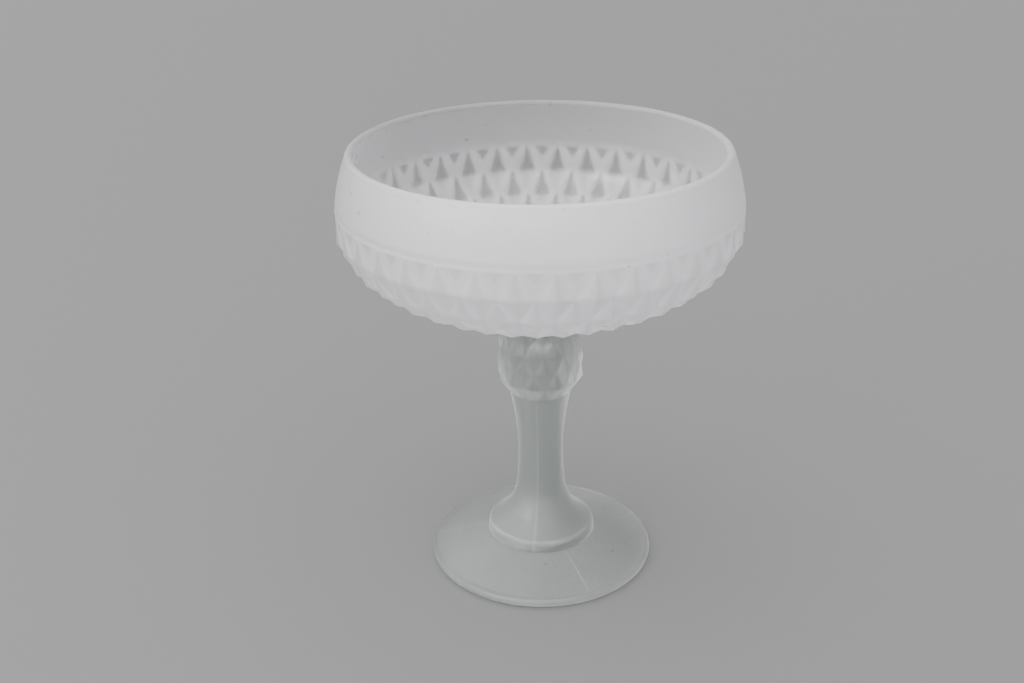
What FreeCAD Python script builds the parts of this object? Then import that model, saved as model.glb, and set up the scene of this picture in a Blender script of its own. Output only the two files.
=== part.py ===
import FreeCAD, Part
import math
import os

os.makedirs("parts", exist_ok=True)

# Pedestal compote in satin-finished pressed glass. All lengths are in mm.
# +Z is up, the origin is the centre of the foot on the table, and -Y is the front.

# Whole object
overall_height = 181.0

# Bowl: smooth band under the lip
lip_radius = 1.6
rim_outer_radius = 74.5
band_middle_radius = 77.3
band_middle_height = 171.0
band_bottom_radius = 79.6
pattern_top_height = 159.5

# Bowl: lower wall, a half ellipse that carries the diamond points
wall_widest_radius = 80.2
wall_widest_height = 152.0
wall_depth = 38.0
first_row_height = 148.3
pattern_ledge = 0.1
point_count = 36
point_pitch_at_widest = 12.7
point_pitch_power = 0.35
point_depth_at_widest = 1.7
point_row_count = 8
bowl_pattern_turn = 8.9

# Bowl: smooth inside
inside_widest_radius = 74.0
inside_widest_height = 152.0
inside_depth = 31.5
inside_shoulder_radius = 73.3
inside_shoulder_height = 170.0
inside_lip_lean = 0.2

# Disc of glass that joins the bowl to the stem
wafer_radius = 17.4
wafer_bulge = 0.6

# Knop: bulb of diamond points at the top of the stem
knop_top_height = 112.2
knop_row_pitch = 6.95
knop_point_count = 12
knop_point_depth = 1.0
knop_apex_radii = (16.6, 16.6, 17.4, 17.9, 17.8)
knop_tail_radius = 12.75
knop_tail_ledge = 0.12
knop_pattern_turn = 21.3

# Stem outside, from the knop's tails down to the step ring
stem_upper_radius = 10.9
stem_upper_height = 67.5
stem_waist_radius = 9.4
stem_waist_height = 50.0
stem_lower_radius = 10.1
stem_lower_height = 35.0
flare_radius = 14.4
flare_height = 22.8
step_top_radius = 22.4
step_side_radius = 22.8
step_top_height = 15.9
step_round = 1.3

# Hollow core of the stem, open under the foot
core_mouth_radius = 17.0
core_flare_radius = 9.6
core_flare_height = 22.0
core_throat_radius = 6.3
core_throat_height = 34.0
core_middle_radius = 5.6
core_middle_height = 55.0
core_top_radius = 5.0
core_side_top_height = 95.0

# Foot
foot_radius = 47.3
foot_edge_round = 1.9
foot_top_height = 11.2
foot_edge_height = 4.2
foot_ring_inner_radius = 41.0
foot_ring_outer_radius = 45.4
foot_ring_slope_width = 1.2
foot_ring_slope_height = 0.8
foot_glass = 4.6
foot_step_gap = 0.8
foot_hole_flare = 0.6


def place(radius, height, turn):
    angle = math.radians(turn)
    return FreeCAD.Vector(radius * math.sin(angle), -radius * math.cos(angle), height)


def flat(radius, height):
    # a point of an outline, which lies in the XZ plane and is spun round Z
    return FreeCAD.Vector(radius, 0, height)


def line(start, end):
    return Part.makeLine(flat(*start), flat(*end))


def arc(start, middle, end):
    return Part.Arc(flat(*start), flat(*middle), flat(*end)).toShape()


def smooth_curve(points):
    curve = Part.BSplineCurve()
    curve.interpolate([flat(*point) for point in points])
    return curve.toShape()


def ellipse_quarter(radius, depth, centre_height):
    # runs from the widest point down to the axis
    steps = 8
    points = []
    for step in range(steps + 1):
        turn = math.pi / 2 * step / steps
        points.append((radius * math.cos(turn), centre_height - depth * math.sin(turn)))
    return points


def spin(shape):
    return shape.revolve(FreeCAD.Vector(0, 0, 0), FreeCAD.Vector(0, 0, 1), 360)


def spin_faces(edge):
    return spin(Part.Wire([edge])).Faces


def spin_solid(edges):
    return spin(Part.Face(Part.Wire(edges)))


def flat_ring(outer, inner):
    return Part.Face([outer, inner])


def circle_wire(radius, height):
    centre = FreeCAD.Vector(0, 0, height)
    return Part.Wire([Part.makeCircle(radius, centre)])


def closed_polygon(points):
    return Part.makePolygon(points + [points[0]])


def triangle(first, second, third):
    return Part.Face(closed_polygon([first, second, third]))


def solid_from(faces):
    shell = Part.makeShell(faces)
    shell.sewShape()
    solid = Part.makeSolid(shell)
    if solid.Volume < 0:
        solid.reverse()
    return solid


def row_points(row, count, apex, groove, turn):
    # each row alternates high points and groove crossings, and every second
    # row is turned by half a diamond
    cell = 360.0 / count
    points = []
    for index in range(2 * count):
        shape = apex if index % 2 == 0 else groove
        position = turn + cell * (row + index) / 2
        points.append(place(shape[0], shape[1], position))
    return points


def diamond_facets(rows, count):
    # rows: list of point rings; facets join each high point to the groove
    # crossings around it
    faces = []
    size = 2 * count
    for upper, lower in zip(rows, rows[1:]):
        for index in range(0, size, 2):
            apex = upper[index]
            left = upper[index - 1]
            right = upper[(index + 1) % size]
            below = lower[index - 1]
            faces.append(triangle(apex, below, left))
            faces.append(triangle(apex, right, below))
            high = lower[index]
            low_right = lower[(index + 1) % size]
            faces.append(triangle(right, high, below))
            faces.append(triangle(right, low_right, high))
    return faces


def wall_point(turn):
    radius = wall_widest_radius * math.cos(turn)
    height = wall_widest_height - wall_depth * math.sin(turn)
    return radius, height


def wall_slope(turn):
    # outward direction of the wall, and how fast its length grows with turn
    out = wall_depth * math.cos(turn)
    down = wall_widest_radius * math.sin(turn)
    speed = math.hypot(out, down)
    return out / speed, -down / speed, speed


def point_pitch(radius):
    return point_pitch_at_widest * (radius / wall_widest_radius) ** point_pitch_power


def wall_rows():
    # radius, height and outward direction at each row of the bowl, top row first
    rows = [(band_bottom_radius - pattern_ledge, pattern_top_height, 1.0, 0.0)]
    turn = math.asin((wall_widest_height - first_row_height) / wall_depth)
    for row in range(1, point_row_count + 1):
        radius, height = wall_point(turn)
        out, up, speed = wall_slope(turn)
        rows.append((radius, height, out, up))
        half_way = turn + point_pitch(radius) / speed / 2
        turn += point_pitch(wall_point(half_way)[0]) / wall_slope(half_way)[2]
    return rows


def bowl_rings():
    # the top ring is a plain circle, where the points run out into the band
    rings = []
    rows = wall_rows()
    for row, (radius, height, out, up) in enumerate(rows):
        depth = point_depth_at_widest * radius / wall_widest_radius
        groove = (radius - depth * out, height - depth * up)
        if row == 0:
            groove = (radius, height)
        if row == len(rows) - 1:
            groove = (radius - depth, height)
        apex = (radius, height)
        rings.append(row_points(row, point_count, apex, groove, bowl_pattern_turn))
    return rings


def bowl_inside_curve():
    # starts down and slightly outwards under the lip, and ends level on the axis
    lip_inside = rim_outer_radius - 2 * lip_radius
    lip_centre = overall_height - lip_radius
    points = [(lip_inside, lip_centre), (inside_shoulder_radius, inside_shoulder_height)]
    points += ellipse_quarter(inside_widest_radius, inside_depth, inside_widest_height)
    start = FreeCAD.Vector(inside_lip_lean, 0, -1)
    end = FreeCAD.Vector(-1, 0, 0)
    curve = Part.BSplineCurve()
    curve.interpolate([flat(*point) for point in points], InitialTangent=start, FinalTangent=end)
    return curve.toShape()


def make_bowl():
    rings = bowl_rings()
    lip_centre = overall_height - lip_radius
    lip_middle = rim_outer_radius - lip_radius
    lip_inside = rim_outer_radius - 2 * lip_radius
    lip = arc((lip_inside, lip_centre), (lip_middle, overall_height), (rim_outer_radius, lip_centre))
    band = arc((rim_outer_radius, lip_centre), (band_middle_radius, band_middle_height),
               (band_bottom_radius, pattern_top_height))
    faces = []
    for edge in (bowl_inside_curve(), lip, band):
        faces += spin_faces(edge)
    edge = circle_wire(band_bottom_radius, pattern_top_height)
    faces.append(flat_ring(edge, closed_polygon(rings[0])))
    faces += diamond_facets(rings, point_count)
    faces.append(Part.Face(closed_polygon(rings[-1])))
    return solid_from(faces)


def wafer_top_height():
    return wall_rows()[-1][1]


def make_wafer():
    low = knop_top_height
    high = wafer_top_height()
    widest = (wafer_radius + wafer_bulge, (low + high) / 2)
    return spin_solid([
        line((0, low), (wafer_radius, low)),
        arc((wafer_radius, low), widest, (wafer_radius, high)),
        line((wafer_radius, high), (0, high)),
        line((0, high), (0, low)),
    ])


def knop_row_height(row):
    return knop_top_height - row * knop_row_pitch


def knop_rings():
    # below the last row of points the facets run out in a plain circle
    rings = []
    for row, radius in enumerate(knop_apex_radii):
        height = knop_row_height(row)
        apex = (radius, height)
        groove = (radius - knop_point_depth, height)
        rings.append(row_points(row, knop_point_count, apex, groove, knop_pattern_turn))
    row = len(knop_apex_radii)
    tail = (knop_tail_radius, knop_row_height(row))
    rings.append(row_points(row, knop_point_count, tail, tail, knop_pattern_turn))
    return rings


def knop_shoulder():
    # the round stem starts here, a hair wider than the knop's last ring
    return knop_tail_radius + knop_tail_ledge, knop_row_height(len(knop_apex_radii))


def stem_outside_edges():
    curve = smooth_curve([
        knop_shoulder(),
        (stem_upper_radius, stem_upper_height),
        (stem_waist_radius, stem_waist_height),
        (stem_lower_radius, stem_lower_height),
        (flare_radius, flare_height),
        (step_top_radius - step_round, step_top_height),
    ])
    cut = step_round * (1 - math.sqrt(0.5))
    edge = arc((step_top_radius - step_round, step_top_height),
               (step_top_radius - cut, step_top_height - cut),
               (step_top_radius, step_top_height - step_round))
    side = line((step_top_radius, step_top_height - step_round), (step_side_radius, foot_top_height))
    return curve, edge, side


def stem_core_edges():
    curve = smooth_curve([
        (core_mouth_radius, foot_top_height),
        (core_flare_radius, core_flare_height),
        (core_throat_radius, core_throat_height),
        (core_middle_radius, core_middle_height),
        (core_top_radius, core_side_top_height),
    ])
    corner = core_top_radius * math.sqrt(0.5)
    dome = arc((core_top_radius, core_side_top_height), (corner, core_side_top_height + corner),
               (0, core_side_top_height + core_top_radius))
    return curve, dome


def make_stem():
    rings = knop_rings()
    faces = [Part.Face(closed_polygon(rings[0]))]
    faces += diamond_facets(rings, knop_point_count)
    faces.append(flat_ring(circle_wire(*knop_shoulder()), closed_polygon(rings[-1])))
    for edge in stem_outside_edges() + stem_core_edges():
        faces += spin_faces(edge)
    faces.append(flat_ring(circle_wire(step_side_radius, foot_top_height),
                           circle_wire(core_mouth_radius, foot_top_height)))
    return solid_from(faces)


def make_foot():
    # a cone on top, a rounded edge, a flat ring to stand on and a hollow underside
    top = foot_edge_height
    under = foot_top_height - foot_glass
    core_edge = (core_mouth_radius, foot_top_height)
    step_edge = (step_side_radius + foot_step_gap, foot_top_height)
    cone_edge = (foot_radius - foot_edge_round, top)
    ring_outside = (foot_ring_outer_radius, 0)
    ring_inside = (foot_ring_inner_radius, 0)
    ring_slope = (foot_ring_inner_radius - foot_ring_slope_width, foot_ring_slope_height)
    hollow_corner = (step_side_radius, under)
    hole_edge = (core_mouth_radius + foot_hole_flare, under)
    return spin_solid([
        line(core_edge, step_edge),
        line(step_edge, cone_edge),
        arc(cone_edge, (foot_radius, top / 2), ring_outside),
        line(ring_outside, ring_inside),
        line(ring_inside, ring_slope),
        line(ring_slope, hollow_corner),
        line(hollow_corner, hole_edge),
        line(hole_edge, core_edge),
    ])


nodes = {
    "bowl": make_bowl(),
    "joining_wafer": make_wafer(),
    "stem": make_stem(),
    "foot": make_foot(),
}

for name, shape in nodes.items():
    shape.exportStep("parts/" + name + ".step")
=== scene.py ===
import math

import bmesh
import bpy
from mathutils import Matrix, Vector


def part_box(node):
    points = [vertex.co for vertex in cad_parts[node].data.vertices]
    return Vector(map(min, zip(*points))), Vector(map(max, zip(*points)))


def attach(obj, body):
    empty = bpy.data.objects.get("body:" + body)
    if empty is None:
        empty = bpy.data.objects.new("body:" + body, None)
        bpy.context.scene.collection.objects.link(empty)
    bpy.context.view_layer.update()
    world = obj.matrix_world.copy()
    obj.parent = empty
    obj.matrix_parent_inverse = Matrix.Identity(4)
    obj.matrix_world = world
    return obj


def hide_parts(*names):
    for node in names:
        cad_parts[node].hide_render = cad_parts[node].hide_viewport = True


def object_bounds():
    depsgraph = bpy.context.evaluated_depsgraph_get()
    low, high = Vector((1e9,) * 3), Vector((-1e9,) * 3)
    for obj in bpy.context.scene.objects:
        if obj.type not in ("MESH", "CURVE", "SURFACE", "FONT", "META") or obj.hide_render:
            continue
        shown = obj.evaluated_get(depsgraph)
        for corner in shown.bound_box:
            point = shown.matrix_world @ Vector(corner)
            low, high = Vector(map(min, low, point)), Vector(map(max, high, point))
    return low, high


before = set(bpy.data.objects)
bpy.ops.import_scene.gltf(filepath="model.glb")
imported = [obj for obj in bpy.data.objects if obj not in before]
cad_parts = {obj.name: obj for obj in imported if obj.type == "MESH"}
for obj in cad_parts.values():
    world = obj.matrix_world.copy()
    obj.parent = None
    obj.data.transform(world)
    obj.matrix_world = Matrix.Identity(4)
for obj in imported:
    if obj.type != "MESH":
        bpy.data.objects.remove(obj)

MM = 0.001
FULL_TURN = 2 * math.pi

# the surfaces that a piece can have, in the order of its material slots
ETCHED, INNER, FUSED = range(3)

# ---------------------------------------------------------------- frame sizes

cad_low, cad_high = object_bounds()
bowl_low, bowl_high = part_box("bowl")
wafer_low, wafer_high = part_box("joining_wafer")
stem_low, stem_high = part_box("stem")
foot_low, foot_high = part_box("foot")
overall_height = cad_high.z - cad_low.z

# how much the rounding of lips and points keeps inside the CAD outline
inset = 0.03 * MM

# ------------------------------------------------------------- bowl dimensions

lip_radius = 1.6 * MM
rim_outer_radius = 74.5 * MM - inset
band_middle_radius = 77.3 * MM - inset
band_middle_drop = 10.0 * MM
pattern_top_drop = 21.5 * MM
pattern_top_radius = 79.5 * MM - inset
widest_radius = 80.2 * MM - inset
widest_drop = 29.0 * MM
wall_depth = 38.0 * MM
first_row_drop = 32.7 * MM
bowl_points = 36
bowl_rows = 8
bowl_pitch = 12.7 * MM
bowl_pitch_power = 0.35
bowl_point_depth = 1.7 * MM
bowl_turn = 8.9
inside_widest_radius = 74.0 * MM
inside_widest_drop = 29.0 * MM
inside_depth = 31.5 * MM

# ------------------------------------------------------- knop, stem dimensions

knop_row_pitch = 6.95 * MM
knop_points = 12
knop_point_depth = 1.0 * MM
knop_apex_radii = [radius * MM - inset for radius in (16.6, 16.6, 17.4, 17.9, 17.8)]
knop_tail_radius = 12.75 * MM
knop_turn = 21.3
shaft_places = [(radius * MM, height * MM) for radius, height in (
    (10.9, 67.5), (9.55, 56.0), (9.4, 47.0), (10.1, 35.0), (11.5, 28.2), (14.6, 21.8))]
step_shoulder = (21.0 * MM, 15.9 * MM)
step_corner = (22.05 * MM, 15.45 * MM)
step_side_top = (22.4 * MM, 14.6 * MM)
step_side_radius = 22.8 * MM
core_mouth_radius = 17.0 * MM
core_places = [(radius * MM, height * MM) for radius, height in ((9.6, 22.0), (6.3, 34.0), (5.6, 55.0))]
core_top_radius = 5.0 * MM
core_side_top_height = 95.0 * MM
core_dome_turns = (0.25, 0.5, 0.8, 1.1, 1.35)

# ------------------------------------------------------ wafer, foot dimensions

fused_radius = 16.4 * MM
wafer_bulge = 0.6 * MM
foot_top_radius = 22.9 * MM
foot_cone_places = [(radius * MM, height * MM) for radius, height in ((30.0, 9.3), (38.0, 6.7))]
foot_rim_radius = 45.4 * MM
foot_rim_height = 4.25 * MM
foot_rim_middle = 2.1 * MM
ring_middle_radius = 43.2 * MM
ring_inner_radius = 41.0 * MM
ring_edge_height = 0.3 * MM
foot_under_places = [(radius * MM, height * MM) for radius, height in ((39.8, 0.8), (31.0, 3.9), (22.8, 6.6))]
foot_hole_radius = 17.6 * MM

# ------------------------------------------------------- traces of making, and the knop's painted shade

seam_height = 0.06 * MM
seam_frost = 0.22
seam_sides = 3
stem_seam_turn, stem_seam_width = -8.0, 1.4
foot_seam_turn, foot_seam_width = 25.5, 0.5
# how strongly the knop's drops of thin frosting are painted darker, as painted shade
knop_drop_shade = 0.8


# ---------------------------------------------------------------- mesh building

def around(radius, height, degrees):
    # 0 degrees is the front (-Y), and angles grow towards +X
    angle = math.radians(degrees)
    return Vector((radius * math.sin(angle), -radius * math.cos(angle), height))


class Skin:
    """Collects rings of points, top to bottom, the faces between them and each face's surface."""

    def __init__(self):
        self.points = []
        self.faces = []
        self.surfaces = []
        self.surface = ETCHED
        self.frost_and_shade = {}

    def add(self, *faces):
        self.faces.extend(faces)
        self.surfaces.extend([self.surface] * len(faces))

    def ring(self, places):
        first = len(self.points)
        self.points.extend(places)
        return list(range(first, len(self.points)))

    def round_ring(self, radius, height, count, line=None, frost_and_shade=None):
        # line: where a mould seam stands proud, from 0 to 1; frost: see satin_glass
        step = 360.0 / count
        places = []
        values = []
        for index in range(count):
            turn = step * index
            seam_share = line(turn) if line else 0.0
            places.append(around(radius + seam_share * seam_height, height, turn))
            values.append((frost_and_shade(turn) if frost_and_shade else 0.0) - seam_frost * seam_share)
        ring = self.ring(places)
        self.frost_and_shade.update(zip(ring, values))
        return ring

    def tip(self, height):
        return self.ring([Vector((0, 0, height))])

    def join(self, upper, lower):
        # upper and lower rings of one length, or one twice as long as the other
        many, few = len(upper), len(lower)
        if few == 1:
            for index in range(many):
                self.add((upper[index], lower[0], upper[(index + 1) % many]))
        elif many == few:
            for index in range(many):
                after = (index + 1) % many
                self.add((upper[index], lower[index], lower[after], upper[after]))
        elif many == 2 * few:
            for index in range(few):
                a, b, c = (upper[(2 * index + step) % many] for step in (0, 1, 2))
                d, e = lower[index], lower[(index + 1) % few]
                self.add((a, d, b), (b, d, e), (b, e, c))
        elif few == 2 * many:
            for index in range(many):
                a, b, c = (lower[(2 * index + step) % few] for step in (0, 1, 2))
                d, e = upper[index], upper[(index + 1) % many]
                self.add((d, a, b), (d, b, e), (e, b, c))

    def chain(self, rings, surface=None):
        self.surface = ETCHED if surface is None else surface
        for upper, lower in zip(rings, rings[1:]):
            self.join(upper, lower)
        self.surface = ETCHED

    def to_object(self, name):
        mesh = bpy.data.meshes.new(name)
        mesh.from_pydata([tuple(point) for point in self.points], [], self.faces)
        mesh.polygons.foreach_set("material_index", self.surfaces)
        build = bmesh.new()
        build.from_mesh(mesh)
        bmesh.ops.recalc_face_normals(build, faces=build.faces)
        build.to_mesh(mesh)
        build.free()
        mesh.shade_smooth()
        frost_and_shade = mesh.attributes.new("frost_and_shade", "FLOAT", "POINT")
        frost_and_shade.data.foreach_set("value", [self.frost_and_shade.get(index, 0.0) for index in range(len(self.points))])
        piece = bpy.data.objects.new(name, mesh)
        bpy.context.scene.collection.objects.link(piece)
        return piece


def step_up(value, middle, width):
    return min(max((value - middle) / width + 0.5, 0.0), 1.0)


def drop_shade_frost(row, apex_first, across, down):
    """How thin the frosting is: 1 in a drop shape hanging above each point's tip, nearly 0 elsewhere. The
    thin drops are painted darker, as painted shade.
    """
    above_tip = across + down > 1 if apex_first else across < down
    beside_tip = 1 - across if apex_first == above_tip else across
    if above_tip:
        # the drop's half width grows downwards, faster and faster
        return step_up(0.1 + 0.42 * down ** 1.6, beside_tip, 0.22)
    if row == 0:
        # a small triangle that hangs from the pattern's top line
        return step_up(0.5 - 1.1 * down, beside_tip, 0.2) * min(down / 0.1, 1.0)
    # under the tip the drop fades out in a short distance
    return step_up(0.52 * (1 - down), beside_tip, 0.3) * max(1 - 4 * down, 0.25)


def back_shade_share(degrees):
    """Painted shade: the frosting is made heavier and whiter towards the front, where the photo shows the
    points less clearly, and thinner, darker and clearer towards the back.
    """
    return 0.6 - 0.4 * math.cos(math.radians(degrees))


# the plain band is painted darker and clearer towards the back, as painted shade
def band_back_shade(degrees):
    return 0.75 * (back_shade_share(degrees) - back_shade_share(0.0))


def diamond_band(skin, rows, count, turn, fine, thinnest):
    """Rings of flat-sided points. rows holds (apex, groove) pairs of (radius, height).

    thinnest gives how thin the frosting gets at an angle round the piece; where it is thin the colour is
    painted darker, as shade.
    """
    def corner(row, place):
        shape = rows[row][(place - row) % 2]
        return around(shape[0], shape[1], turn + 180.0 * place / count)

    rings = []
    last = len(rows) - 1
    for level in range(last * fine + 1):
        row = min(level // fine, last - 1)
        down = level / fine - row
        places = []
        thin = []
        for place in range(2 * count):
            upper_left, upper_right = corner(row, place), corner(row, place + 1)
            lower_left, lower_right = corner(row + 1, place), corner(row + 1, place + 1)
            apex_first = (place - row) % 2 == 0
            for step in range(fine):
                across = step / fine
                if apex_first and across + down <= 1:
                    spot = upper_left + across * (upper_right - upper_left) + down * (lower_left - upper_left)
                elif apex_first:
                    spot = (lower_right + (1 - across) * (lower_left - lower_right)
                            + (1 - down) * (upper_right - lower_right))
                elif down <= across:
                    spot = (upper_right + (1 - across) * (upper_left - upper_right)
                            + down * (lower_right - upper_right))
                else:
                    spot = (lower_left + across * (lower_right - lower_left)
                            + (1 - down) * (upper_left - lower_left))
                places.append(spot)
                angle = turn + 180.0 * (place + across) / count
                # drop shapes of thin frosting, painted darker as shade
                drop = drop_shade_frost(row, apex_first, across, down)
                thin.append((0.3 + 0.7 * drop) * thinnest(angle))
        rings.append(skin.ring(places))
        skin.frost_and_shade.update(zip(rings[-1], thin))
    size = 2 * count * fine
    for level in range(last * fine):
        row = level // fine
        upper, lower = rings[level], rings[level + 1]
        for index in range(size):
            after = (index + 1) % size
            a, b, c, d = upper[index], upper[after], lower[after], lower[index]
            if (index // fine - row) % 2 == 0:
                skin.add((a, d, b), (b, d, c))
            else:
                skin.add((a, d, c), (a, c, b))
    return rings


def soften(skin, rings, passes, amount):
    """Rounds ridges and grooves a little by drawing each point towards its neighbours."""
    points = skin.points
    for _ in range(passes):
        moved = {}
        for above, here, below in zip(rings, rings[1:], rings[2:]):
            size = len(here)
            for index, own in enumerate(here):
                near = (points[above[index]] + points[below[index]]
                        + points[here[index - 1]] + points[here[(index + 1) % size]]) / 4
                moved[own] = points[own].lerp(near, amount)
        for own, place in moved.items():
            points[own] = place


def spline(points, count):
    """count + 1 places along a smooth curve through (radius, height) points."""
    ends = [points[0]] + list(points) + [points[-1]]
    places = []
    spans = len(points) - 1
    for step in range(count + 1):
        along = step * spans / count
        span = min(int(along), spans - 1)
        t = along - span
        a, b, c, d = (Vector(ends[span + index]) for index in range(4))
        places.append(0.5 * (2 * b + (c - a) * t + (2 * a - 5 * b + 4 * c - d) * t * t
                             + (3 * b - a - 3 * c + d) * t ** 3))
    return places


def arc_through(start, middle, end, count):
    """count + 1 places on the circular arc through three (radius, height) points."""
    a, b, c = Vector(start), Vector(middle), Vector(end)
    d = 2 * (a.x * (b.y - c.y) + b.x * (c.y - a.y) + c.x * (a.y - b.y))
    aa, bb, cc = a.length_squared, b.length_squared, c.length_squared
    ux = (aa * (b.y - c.y) + bb * (c.y - a.y) + cc * (a.y - b.y)) / d
    uy = (aa * (c.x - b.x) + bb * (a.x - c.x) + cc * (b.x - a.x)) / d
    centre = Vector((ux, uy))
    radius = (a - centre).length

    def heading(point):
        return math.atan2(point.y - centre.y, point.x - centre.x)

    first = heading(a)
    to_middle = (heading(b) - first) % FULL_TURN
    to_end = (heading(c) - first) % FULL_TURN
    if to_middle > to_end:
        to_end -= FULL_TURN
    turns = [first + to_end * step / count for step in range(count + 1)]
    return [centre + radius * Vector((math.cos(turn), math.sin(turn))) for turn in turns]


def ellipse_places(radius, depth, centre_height, count):
    # from the widest point down to just short of the axis
    places = []
    for step in range(count):
        turn = 0.5 * math.pi * step / count
        places.append(Vector((radius * math.cos(turn), centre_height - depth * math.sin(turn))))
    return places


# ------------------------------------------------------------------- the pieces

def bowl_pattern_rows():
    top = bowl_high.z
    centre_height = top - widest_drop
    rows = [((pattern_top_radius, top - pattern_top_drop), (pattern_top_radius, top - pattern_top_drop))]
    turn = math.asin((first_row_drop - widest_drop) / wall_depth)

    def radius_at(angle):
        return widest_radius * math.cos(angle)

    def pitch_at(angle):
        return bowl_pitch * (radius_at(angle) / widest_radius) ** bowl_pitch_power

    def speed_at(angle):
        return math.hypot(wall_depth * math.cos(angle), widest_radius * math.sin(angle))

    for row in range(1, bowl_rows + 1):
        radius, height = radius_at(turn), centre_height - wall_depth * math.sin(turn)
        depth = bowl_point_depth * radius / widest_radius
        out = wall_depth * math.cos(turn) / speed_at(turn)
        up = -widest_radius * math.sin(turn) / speed_at(turn)
        groove = (radius - depth * out, height - depth * up)
        if row == bowl_rows:
            groove = (radius - depth, height)
        rows.append(((radius, height), groove))
        middle = turn + 0.5 * pitch_at(turn) / speed_at(turn)
        turn += pitch_at(middle) / speed_at(middle)
    return rows


def make_bowl():
    fine = 10
    dense = 2 * bowl_points * fine
    plain = dense // 2
    top = bowl_high.z
    skin = Skin()
    lip_height = top - lip_radius
    lip_inside = rim_outer_radius - 2 * lip_radius
    lip = arc_through((lip_inside, lip_height), (rim_outer_radius - lip_radius, top - inset),
                      (rim_outer_radius, lip_height), 10)
    band = arc_through((rim_outer_radius, lip_height), (band_middle_radius, top - band_middle_drop),
                       (pattern_top_radius, top - pattern_top_drop), 12)
    outside = [skin.round_ring(place.x, place.y, plain, frost_and_shade=band_back_shade) for place in lip + band[1:-1]]
    skin.chain(outside)
    pattern = diamond_band(skin, bowl_pattern_rows(), bowl_points, bowl_turn, fine, back_shade_share)
    soften(skin, pattern, 1, 0.15)
    skin.join(outside[-1], pattern[0])
    bottom = [pattern[-1]]
    for radius in (fused_radius, 10.0 * MM):
        bottom.append(skin.round_ring(radius, bowl_low.z, len(bottom[-1]) // 2))
    skin.chain(bottom[:2])
    skin.chain(bottom[1:] + [skin.tip(bowl_low.z)], FUSED)

    shoulder = spline([(lip_inside, lip_height), (73.3 * MM, top - 11.0 * MM),
                       (inside_widest_radius, top - inside_widest_drop)], 12)
    hollow = ellipse_places(inside_widest_radius, inside_depth, top - inside_widest_drop, 30)
    inside = [outside[0]]
    for place in shoulder[1:-1] + hollow:
        count = plain if place.x > 25 * MM else plain // 2
        inside.append(skin.round_ring(place.x, place.y, count))
    inside.append(skin.tip(top - inside_widest_drop - inside_depth))
    skin.chain(inside, INNER)
    return skin.to_object("bowl_satin")


def make_wafer():
    skin = Skin()
    edge = wafer_high.x - inset
    low, high = wafer_low.z, wafer_high.z
    flat = edge - wafer_bulge
    side = arc_through((flat, high), (edge, 0.5 * (low + high)), (flat, low), 10)
    rings = [skin.round_ring(place.x, place.y, 192) for place in side]
    skin.chain(rings)
    skin.chain([rings[0], skin.tip(high)], FUSED)
    rim = skin.round_ring(fused_radius, low, 192)
    skin.chain([rings[-1], rim])
    skin.chain([rim, skin.tip(low)], FUSED)
    return skin.to_object("joining_wafer_satin")


def seam(first, width):
    """A thin raised line left by each joint of a three-part mould."""
    lines = [first + 360 * side / seam_sides for side in range(seam_sides)]

    def share(turn):
        away = min(abs((turn - line + 180) % 360 - 180) for line in lines)
        return math.exp(-(away / width) ** 2)
    return share


def painted_edge_highlight(turn):
    """A painted highlight: the step's edge is painted whiter, a little unevenly round the piece."""
    return -0.14 - 0.08 * math.sin(math.radians(3 * turn + 40)) * math.sin(math.radians(7 * turn))


def rubbed_and_shaded_edge(turn):
    """The outer edge of the foot is rubbed partly clear, and painted darker there as shade."""
    return 0.4 + 0.2 * math.sin(math.radians(5 * turn + 20)) * math.sin(math.radians(2 * turn))


def make_stem():
    fine = 12
    count = 2 * knop_points * fine
    skin = Skin()
    rows = []
    for row, radius in enumerate(knop_apex_radii):
        height = stem_high.z - row * knop_row_pitch
        rows.append(((radius, height), (radius - knop_point_depth, height)))
    tail_height = stem_high.z - len(knop_apex_radii) * knop_row_pitch
    rows.append(((knop_tail_radius, tail_height), (knop_tail_radius, tail_height)))
    knop = diamond_band(skin, rows, knop_points, knop_turn, fine, lambda turn: knop_drop_shade)
    soften(skin, knop, 2, 0.35)
    cap = [knop[0], skin.round_ring(12 * MM, stem_high.z, count)]
    cap.append(skin.round_ring(6 * MM, stem_high.z, count // 2))
    skin.chain(cap + [skin.tip(stem_high.z)], FUSED)

    shaft = spline([(knop_tail_radius, tail_height), *shaft_places, step_shoulder], 70)
    step_edge = arc_through(step_shoulder, step_corner, step_side_top, 5)
    side_foot = Vector((step_side_radius, stem_low.z))
    side = [Vector(step_side_top).lerp(side_foot, step / 4) for step in range(5)]
    mould_line = seam(stem_seam_turn, stem_seam_width)
    outside = [knop[-1]]
    for place in shaft[1:]:
        outside.append(skin.round_ring(place.x, place.y, count, mould_line))
    for place in step_edge[1:]:
        # the step's edge carries a painted highlight
        outside.append(skin.round_ring(place.x, place.y, count, mould_line, painted_edge_highlight))
    for place in side[1:]:
        outside.append(skin.round_ring(place.x, place.y, count, mould_line))
    skin.chain(outside)

    core_top = Vector((core_top_radius, core_side_top_height))
    core = spline([(core_mouth_radius, stem_low.z), *core_places, core_top], 40)
    dome_centre = Vector((0, core_side_top_height))
    dome = [dome_centre + core_top_radius * Vector((math.cos(turn), math.sin(turn)))
            for turn in core_dome_turns]
    hollow = [skin.round_ring(place.x, place.y, count) for place in core + dome]
    skin.chain([outside[-1], hollow[0]], FUSED)
    skin.chain(hollow + [skin.tip(core_side_top_height + core_top_radius)], INNER)
    return skin.to_object("stem_satin")


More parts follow.
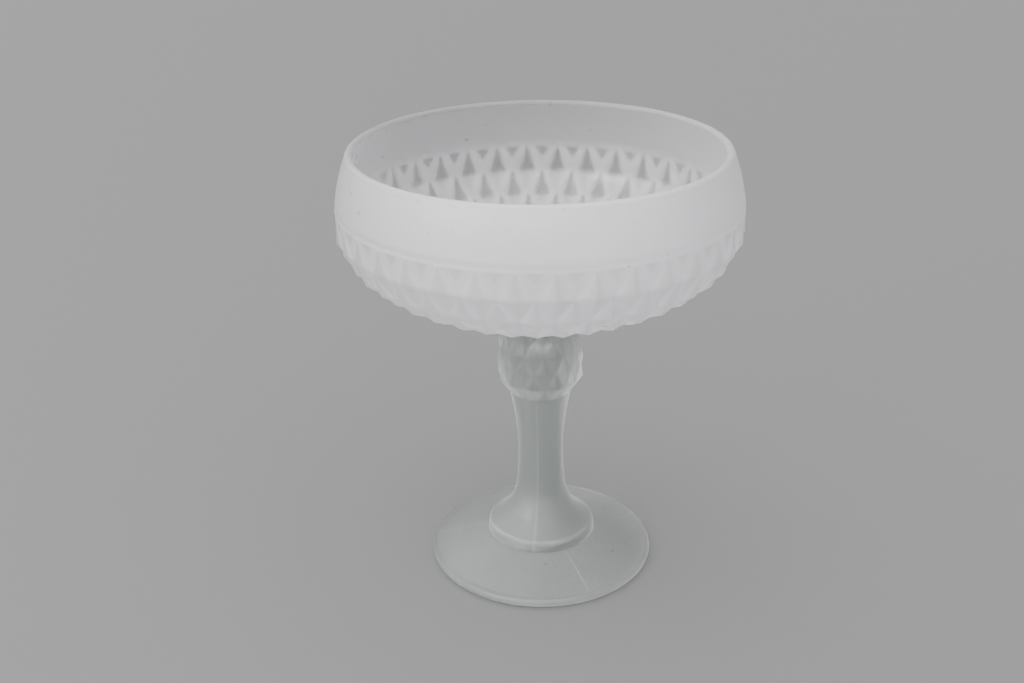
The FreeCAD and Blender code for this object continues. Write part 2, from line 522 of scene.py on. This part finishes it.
def make_foot():
    count = 720
    skin = Skin()
    top = foot_high.z
    edge = foot_high.x - inset
    mould_line = seam(foot_seam_turn, foot_seam_width)
    rim_top = (foot_rim_radius, foot_rim_height)
    rim_low = (foot_rim_radius, ring_edge_height)
    cone = spline([(23.6 * MM, top), *foot_cone_places, rim_top], 20)
    rim = arc_through(rim_top, (edge, foot_rim_middle), rim_low, 16)
    # the standing ring is slightly rounded, so that only its middle touches
    ring_inside = (ring_inner_radius, ring_edge_height)
    standing = arc_through(rim_low, (ring_middle_radius, foot_low.z), ring_inside, 8)
    under = spline(foot_under_places, 12)
    outline = [Vector((radius, top)) for radius in (17.0 * MM, 20.0 * MM, foot_top_radius)]
    rings = [skin.round_ring(place.x, place.y, count) for place in outline]
    rings += [skin.round_ring(place.x, place.y, count, mould_line) for place in cone]
    # the foot's edge: rubbed clearer, and painted darker as shade
    rings += [skin.round_ring(place.x, place.y, count, frost_and_shade=rubbed_and_shaded_edge) for place in rim[1:]]
    rings += [skin.round_ring(place.x, place.y, count) for place in standing[1:]]
    rings += [skin.round_ring(place.x, place.y, count) for place in under]
    rings += [skin.round_ring(foot_hole_radius, foot_under_places[-1][1], count)]
    skin.chain(rings[:3], FUSED)
    skin.chain(rings[2:])
    skin.chain([rings[-1], rings[0]])
    return skin.to_object("foot_satin")


# -------------------------------------------------------------------- materials

class Shading:
    """A Principled material and short ways to add nodes to it."""

    def __init__(self, name):
        self.material = bpy.data.materials.new(name)
        self.material.use_nodes = True
        self.nodes = self.material.node_tree.nodes
        self.links = self.material.node_tree.links
        self.shader = self.nodes["Principled BSDF"]
        self.place = self.nodes.new("ShaderNodeTexCoord").outputs["Object"]

    def noise(self, scale, detail=2.0, distortion=0.0):
        noise = self.nodes.new("ShaderNodeTexNoise")
        noise.inputs["Scale"].default_value = scale
        noise.inputs["Detail"].default_value = detail
        noise.inputs["Distortion"].default_value = distortion
        self.links.new(self.place, noise.inputs["Vector"])
        return noise.outputs["Fac"]

    def attribute(self, name):
        node = self.nodes.new("ShaderNodeAttribute")
        node.attribute_name = name
        return node.outputs["Fac"]

    def spread(self, source, low, high, to_low=0.0, to_high=1.0):
        node = self.nodes.new("ShaderNodeMapRange")
        for name, value in (("From Min", low), ("From Max", high), ("To Min", to_low), ("To Max", to_high)):
            node.inputs[name].default_value = value
        self.links.new(source, node.inputs["Value"])
        return node.outputs["Result"]

    def blend(self, factor, first, second):
        node = self.nodes.new("ShaderNodeMix")
        node.data_type = "RGBA"
        self.links.new(factor, node.inputs["Factor"])
        for socket, colour in ((node.inputs[6], first), (node.inputs[7], second)):
            if isinstance(colour, tuple):
                socket.default_value = (*colour, 1)
            else:
                self.links.new(colour, socket)
        return node.outputs[2]

    def maths(self, operation, first, second):
        node = self.nodes.new("ShaderNodeMath")
        node.operation = operation
        for socket, value in zip(node.inputs, (first, second)):
            if isinstance(value, float):
                socket.default_value = value
            else:
                self.links.new(value, socket)
        return node.outputs[0]


# colours mixed into the glass: faint cloudiness, the white of heavy etching and of the painted highlight on
# the step's edge, and specks of dirt
CLOUD_GREY = (0.3, 0.31, 0.31)
FROST_AND_HIGHLIGHT_WHITE = (0.95, 0.96, 0.96)
SPECK_BROWN = (0.2, 0.19, 0.17)
THINNEST_CLEARNESS = 0.98


def satin_glass(name, tint, thin_shade_tint, clearness, roughness, thin_roughness, sheen=0.0, clouding=0.08):
    """Etched glass. Where the mesh's frost value is 1 the etching is thin, and where it is -1 it is heavy.

    Thin etching scatters little light, so it is clearer and smoother, and its colour is painted darker as
    shade; heavy etching is whiter.
    """
    look = Shading(name)
    glass = look.shader
    glass.inputs["IOR"].default_value = 1.5
    glass.inputs["Sheen Weight"].default_value = sheen
    glass.inputs["Sheen Roughness"].default_value = 0.35
    cloud = look.spread(look.noise(38, 4.0, 0.3), 0.2, 0.8)
    speckle = look.spread(look.noise(900, 1.0), 0.35, 0.65)
    speck = look.spread(look.noise(330, 0.0), 0.815, 0.855)
    frost_and_shade = look.attribute("frost_and_shade")
    thin = look.spread(frost_and_shade, 0.0, 1.0)
    heavy = look.spread(frost_and_shade, 0.0, -1.0)

    # thin frosting takes the darker thin tint: painted shade
    colour = look.blend(thin, tint, thin_shade_tint)
    cloudy = look.maths("MULTIPLY", cloud, clouding)
    mottling = look.maths("ADD", cloudy, look.maths("MULTIPLY", speckle, 0.3 * clouding))
    colour = look.blend(mottling, colour, CLOUD_GREY)
    # heavy frosting is whiter; on the step's edge this white is a painted highlight
    colour = look.blend(heavy, colour, FROST_AND_HIGHLIGHT_WHITE)
    colour = look.blend(look.maths("MULTIPLY", speck, 0.5), colour, SPECK_BROWN)
    look.links.new(colour, glass.inputs["Base Color"])

    clear = look.spread(thin, 0.0, 1.0, clearness, THINNEST_CLEARNESS)
    clear = look.maths("SUBTRACT", clear, look.maths("MULTIPLY", heavy, 0.4))
    clear = look.maths("SUBTRACT", clear, look.maths("MULTIPLY", cloud, 0.03))
    look.links.new(clear, glass.inputs["Transmission Weight"])

    rough = look.spread(cloud, 0.0, 1.0, roughness - 0.05, roughness + 0.05)
    rough = look.maths("SUBTRACT", rough, look.maths("MULTIPLY", thin, roughness - thin_roughness))
    look.links.new(rough, glass.inputs["Roughness"])

    bump = look.nodes.new("ShaderNodeBump")
    bump.inputs["Strength"].default_value = 0.25
    bump.inputs["Distance"].default_value = 0.0001
    look.links.new(look.noise(2600), bump.inputs["Height"])
    look.links.new(bump.outputs["Normal"], glass.inputs["Normal"])
    let_lamps_through(look)
    return look.material


def let_lamps_through(look):
    """Light from lamps and sky reaches what stands behind the glass, a little weaker for each surface."""
    passing = look.nodes.new("ShaderNodeBsdfTransparent")
    passing.inputs["Color"].default_value = (0.8, 0.8, 0.8, 1)
    rays = look.nodes.new("ShaderNodeLightPath")
    mix = look.nodes.new("ShaderNodeMixShader")
    look.links.new(rays.outputs["Is Shadow Ray"], mix.inputs[0])
    look.links.new(look.shader.outputs[0], mix.inputs[1])
    look.links.new(passing.outputs[0], mix.inputs[2])
    look.links.new(mix.outputs[0], look.nodes["Material Output"].inputs["Surface"])


def fused_joint():
    """Where two pieces were joined hot there is no surface left to see."""
    material = bpy.data.materials.new("fused_joint")
    material.use_nodes = True
    material.node_tree.nodes["Principled BSDF"].inputs["Alpha"].default_value = 0
    return material


# ------------------------------------------------------------------------ stage

def plain_material(name, colour, roughness):
    material = bpy.data.materials.new(name)
    material.use_nodes = True
    shader = material.node_tree.nodes["Principled BSDF"]
    shader.inputs["Base Color"].default_value = (*colour, 1)
    shader.inputs["Roughness"].default_value = roughness
    return material


def make_floor():
    mesh = bpy.data.meshes.new("floor")
    reach = 60 * overall_height
    low = cad_low.z
    corners = [(-reach, -reach, low), (reach, -reach, low), (reach, reach, low), (-reach, reach, low)]
    mesh.from_pydata(corners, [], [(0, 1, 2, 3)])
    floor = bpy.data.objects.new("floor", mesh)
    bpy.context.scene.collection.objects.link(floor)
    mesh.materials.append(plain_material("floor_paper", (0.13, 0.13, 0.13), 0.8))


def soft_box(name, azimuth, elevation, distance, size, power):
    """A square light aimed at the object's middle; azimuth 0 is the front, growing towards +X."""
    lamp = bpy.data.lights.new(name, "AREA")
    lamp.size = size
    lamp.energy = power
    holder = bpy.data.objects.new(name, lamp)
    middle = Vector((0, 0, 0.6 * overall_height))
    rise = math.radians(elevation)
    away = around(distance * math.cos(rise), distance * math.sin(rise), azimuth)
    holder.location = middle + away
    holder.rotation_euler = (-away).to_track_quat("-Z", "Y").to_euler()
    bpy.context.scene.collection.objects.link(holder)


def make_light():
    world = bpy.data.worlds.new("studio")
    bpy.context.scene.world = world
    world.use_nodes = True
    nodes, links = world.node_tree.nodes, world.node_tree.links
    direction = nodes.new("ShaderNodeTexCoord").outputs["Generated"]
    towards = nodes.new("ShaderNodeVectorMath")
    towards.operation = "DOT_PRODUCT"
    towards.inputs[1].default_value = Vector((-0.38, -0.45, 0.8)).normalized()
    links.new(direction, towards.inputs[0])
    dome = nodes.new("ShaderNodeMapRange")
    dome.interpolation_type = "SMOOTHSTEP"
    for name, value in (("From Min", -0.2), ("From Max", 1.0), ("To Min", 0.12), ("To Max", 4.2)):
        dome.inputs[name].default_value = value
    links.new(towards.outputs["Value"], dome.inputs["Value"])
    nodes["Background"].inputs["Color"].default_value = (1, 1, 1, 1)
    links.new(dome.outputs["Result"], nodes["Background"].inputs["Strength"])
    soft_box("window_left", -48, 22, 1.6, 0.35, 8)


def make_camera():
    camera = bpy.data.cameras.new("camera")
    camera.sensor_width = 36
    camera.lens = 45.0
    camera.clip_start = 0.01
    camera.clip_end = 100
    yaw, pitch, roll = math.radians(-1.38), math.radians(24.24), math.radians(-0.88)
    forward = Vector((math.sin(yaw) * math.cos(pitch), math.cos(yaw) * math.cos(pitch), -math.sin(pitch)))
    level = Vector((math.cos(yaw), -math.sin(yaw), 0))
    upright = level.cross(forward)
    right = level * math.cos(roll) + upright * math.sin(roll)
    up = upright * math.cos(roll) - level * math.sin(roll)
    holder = bpy.data.objects.new("camera", camera)
    turn = Matrix((right, up, -forward)).transposed().to_4x4()
    place = Vector((0, -2.642 * overall_height, cad_low.z + 1.7344 * overall_height))
    holder.matrix_world = Matrix.Translation(place) @ turn
    bpy.context.scene.collection.objects.link(holder)
    bpy.context.scene.camera = holder


# --------------------------------------------------------------------- assembly

def finish_piece(piece, node, materials):
    for material in materials:
        piece.data.materials.append(material)
    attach(piece, "root")
    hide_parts(node)


joint = fused_joint()
# The stem, its core and the foot are the same glass as the bowl, given darker tints as painted shade; each
# second tint, for thin frosting, is darker still, as painted shade.
core_shade_tint = (0.7, 0.73, 0.72)
bowl_outer = satin_glass("bowl_etched", (0.96, 0.945, 0.985), (0.22, 0.235, 0.23), 0.72, 0.46, 0.22,
                         clouding=0.16)
bowl_inner = satin_glass("bowl_inside", (0.95, 0.95, 0.965), (0.9, 0.9, 0.9), 0.97, 0.3, 0.25)
stem_outer = satin_glass("stem_etched", (0.42, 0.45, 0.44), (0.3, 0.32, 0.31), 0.95, 0.46, 0.42,
                         sheen=0.35, clouding=0.2)
stem_inner = satin_glass("stem_core", core_shade_tint, core_shade_tint, 0.97, 0.4, 0.4)
foot_outer = satin_glass("foot_etched", (0.6, 0.63, 0.62), (0.32, 0.32, 0.31), 0.95, 0.45, 0.42,
                         sheen=0.1, clouding=0.5)

finish_piece(make_bowl(), "bowl", (bowl_outer, bowl_inner, joint))
finish_piece(make_wafer(), "joining_wafer", (stem_outer, stem_inner, joint))
finish_piece(make_stem(), "stem", (stem_outer, stem_inner, joint))
finish_piece(make_foot(), "foot", (foot_outer, foot_outer, joint))

make_floor()
make_light()
make_camera()
